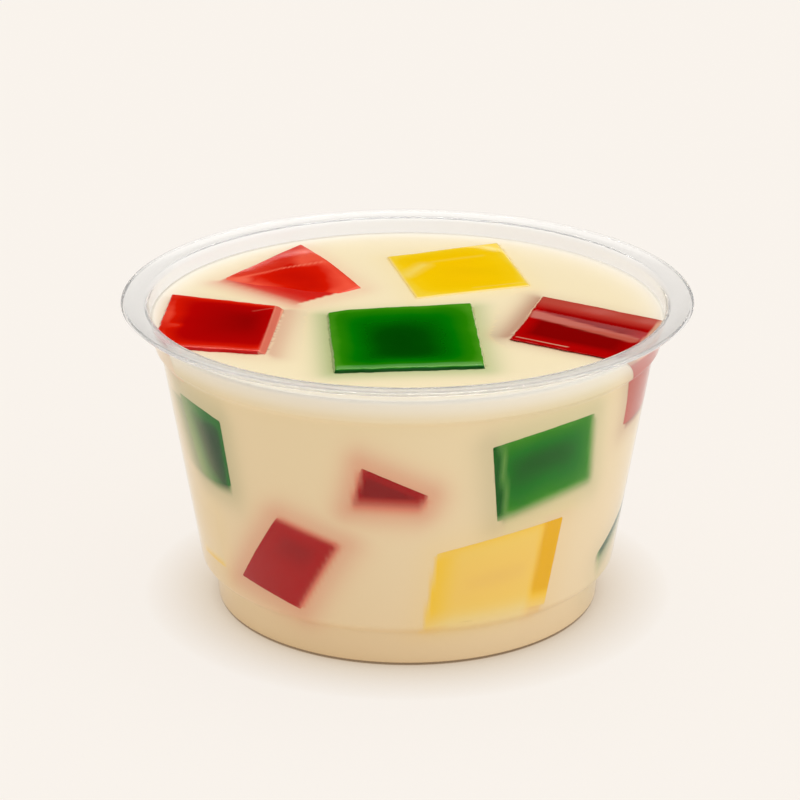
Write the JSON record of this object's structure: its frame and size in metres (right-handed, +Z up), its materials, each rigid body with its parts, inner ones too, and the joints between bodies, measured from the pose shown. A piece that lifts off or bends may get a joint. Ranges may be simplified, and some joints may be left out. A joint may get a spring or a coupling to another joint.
{
  "type": "moulded jelly",
  "caption": "Clear tapered portion cup filled with set milk jelly, in which cut cubes of red, green and yellow jelly are embedded.",
  "frame": {"origin": "middle of the cup's underside, on the surface it stands on", "axes": "+Z up along the cup's axis; -Y is the side that faces the viewer, with the green cube at the front of the top"},
  "size_m": [0.0738, 0.0738, 0.041],
  "materials": {
    "clear_plastic": "clear, smooth and glossy thin sheet",
    "milk_jelly": "set milk jelly, opaque cream, softly glossy",
    "red_jelly": "translucent red jelly, wet gloss",
    "green_jelly": "translucent green jelly, wet gloss",
    "yellow_jelly": "translucent yellow jelly, wet gloss"
  },
  "bodies": {
    "root": {"cup": "clear_plastic", "milk_jelly": "milk_jelly", "green_cube_top_middle": "green_jelly", "red_cube_top_left": "red_jelly", "red_cube_top_right": "red_jelly", "yellow_cube_top_back": "yellow_jelly", "red_cube_top_back": "red_jelly", "yellow_cube_side_left": "yellow_jelly", "green_cube_side_left": "green_jelly", "red_cube_side_low": "red_jelly", "red_cube_side_middle": "red_jelly", "yellow_cube_side_front": "yellow_jelly", "green_cube_side_right": "green_jelly", "green_cube_side_edge": "green_jelly", "yellow_cube_side_right": "yellow_jelly", "red_cube_side_right": "red_jelly", "green_cube_side_back": "green_jelly", "yellow_cube_side_back": "yellow_jelly", "red_cube_side_back": "red_jelly"}
  },
  "joints": []
}
